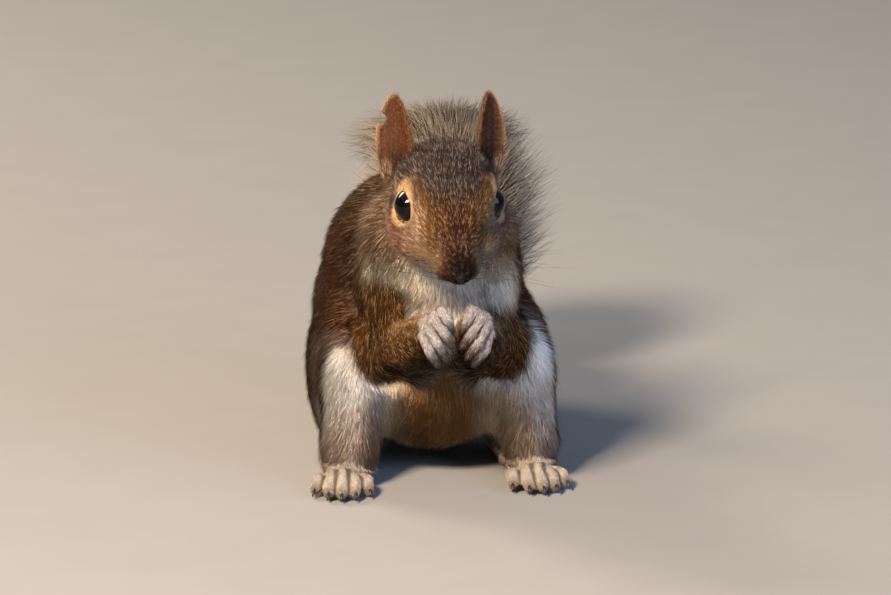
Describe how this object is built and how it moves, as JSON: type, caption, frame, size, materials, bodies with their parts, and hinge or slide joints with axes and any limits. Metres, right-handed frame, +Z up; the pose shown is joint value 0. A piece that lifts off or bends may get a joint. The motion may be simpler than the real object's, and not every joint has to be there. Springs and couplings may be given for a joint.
{
  "type": "grey squirrel model",
  "caption": "Life-size grey squirrel sitting on its haunches with both hands at its mouth and its tail curled up behind its back.",
  "frame": {"origin": "on the floor, in the middle of the flat under the rump", "axes": "+Y from the nose towards the tail, so the squirrel faces -Y; +X is its left side; +Z is up"},
  "size_m": [0.1066, 0.2079, 0.1412],
  "materials": {
    "back_fur": "matte brown-grey coat",
    "belly_fur": "matte cream coat",
    "hand_fur": "short pale grey coat",
    "ear_skin": "thin short-haired orange-brown ear",
    "tail_hair": "long loose grey-brown hair with pale tips",
    "eye": "polished near-black glass eye"
  },
  "bodies": {
    "root": {"trunk": "back_fur", "neck": "back_fur", "head": "back_fur", "upper_arm_l": "back_fur", "upper_arm_r": "back_fur", "forearm_l": "back_fur", "forearm_r": "back_fur", "hand_l": "hand_fur", "hand_r": "hand_fur", "foot_l": "hand_fur", "foot_r": "hand_fur", "thigh_l": "belly_fur", "thigh_r": "belly_fur", "ear_l": "ear_skin", "ear_r": "ear_skin", "eye_l": "eye", "eye_r": "eye", "tail_root": "tail_hair", "tail_rise": "tail_hair", "tail_crest": "tail_hair", "tail_tip": "tail_hair"}
  },
  "joints": []
}
